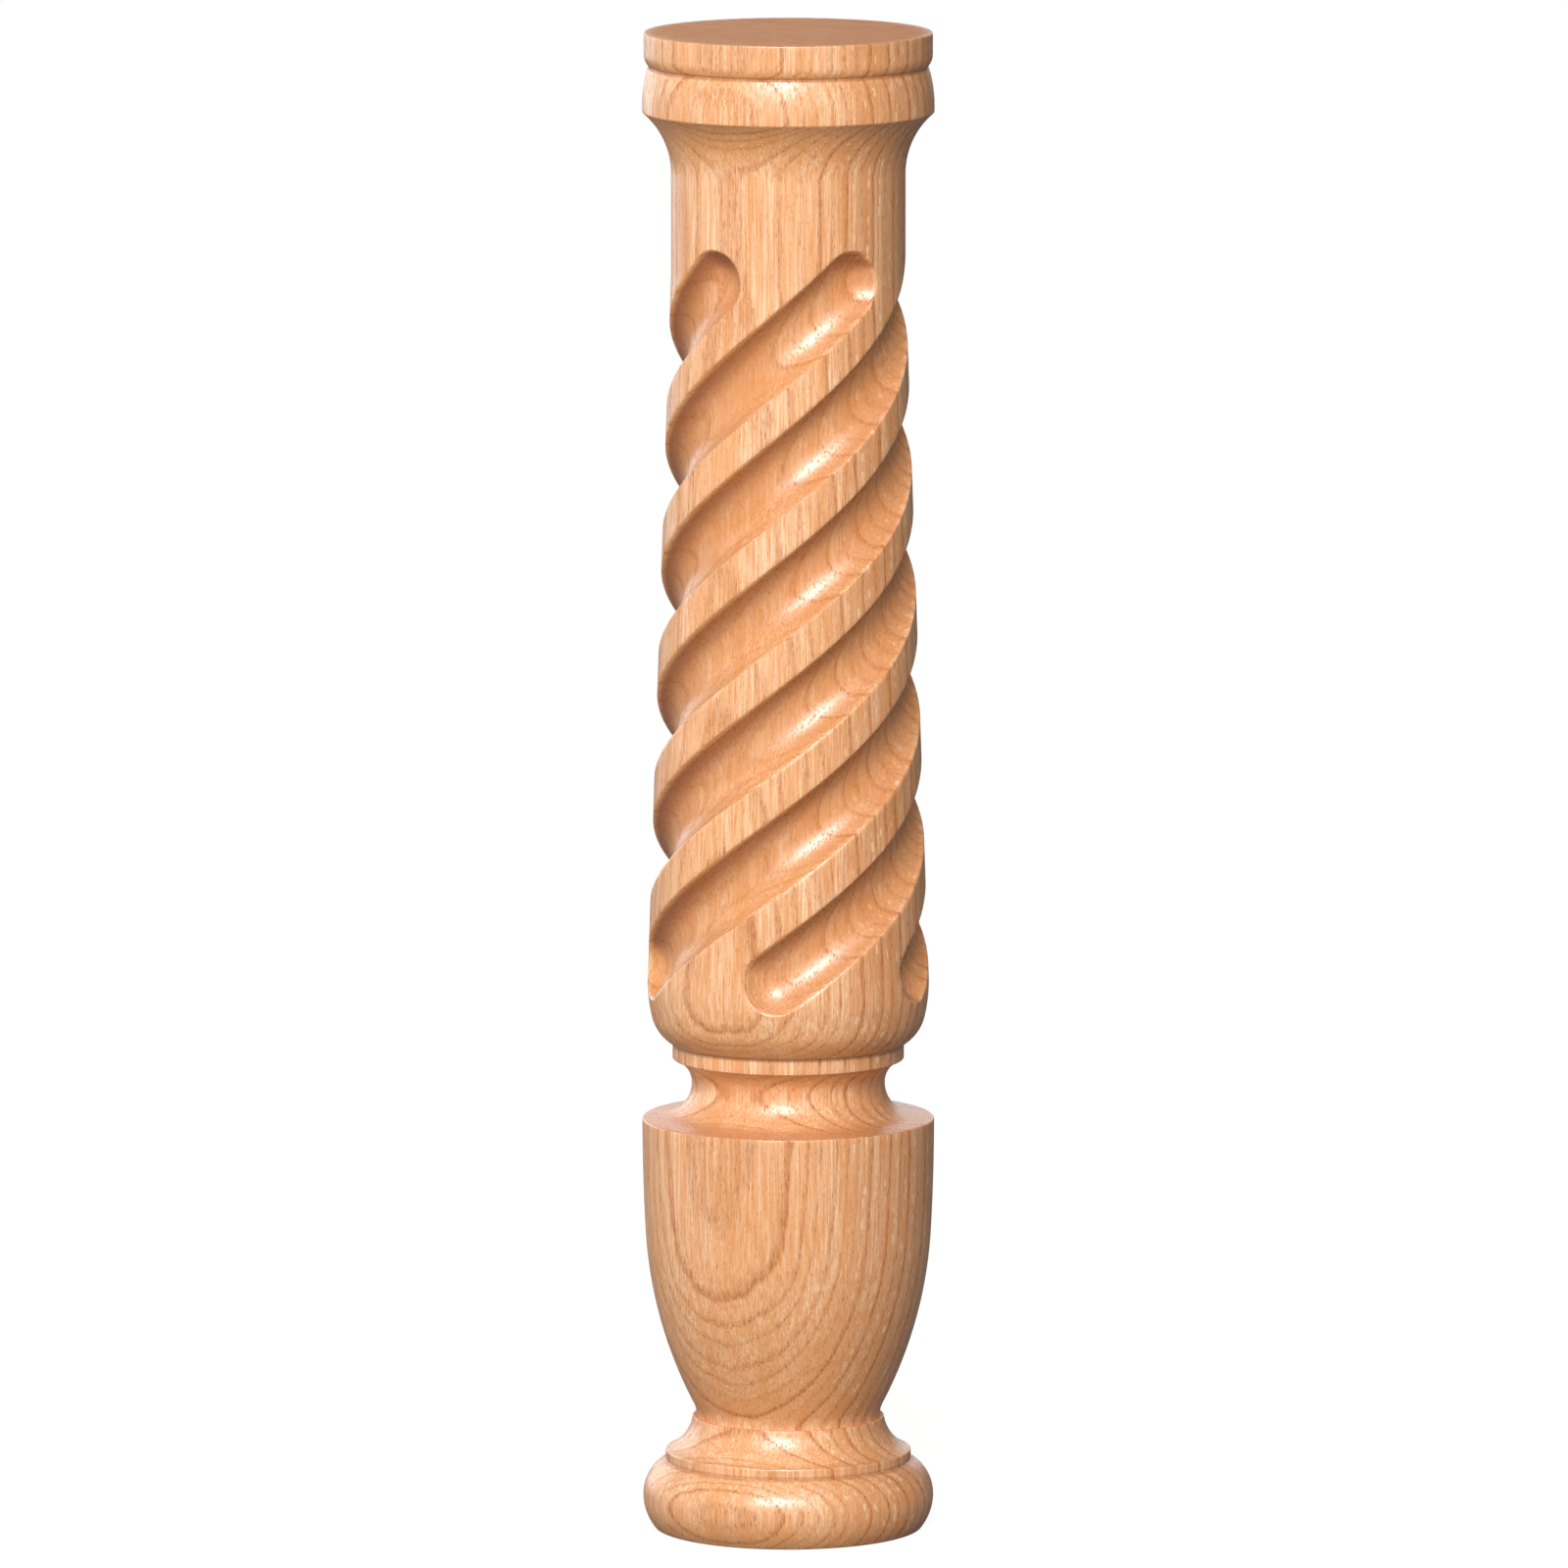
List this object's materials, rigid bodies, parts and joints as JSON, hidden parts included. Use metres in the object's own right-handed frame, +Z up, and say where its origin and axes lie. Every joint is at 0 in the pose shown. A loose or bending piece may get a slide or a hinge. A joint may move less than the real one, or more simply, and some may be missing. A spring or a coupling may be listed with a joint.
{
  "type": "turned newel post with rope flutes",
  "caption": "Turned wooden stair newel post: bun foot, vase, waisted neck, tapered shaft with rounded spiral flutes, cove and banded flat top.",
  "frame": {"origin": "centre of the flat foot, on the turning axis", "axes": "+Z up the turning axis, -Y the front that the picture shows, +X to the right from the front"},
  "size_m": [0.151, 0.151, 0.7779],
  "materials": {
    "oak": "clear satin lacquer on light oak"
  },
  "bodies": {
    "root": {"newel_post": "oak"}
  },
  "joints": []
}
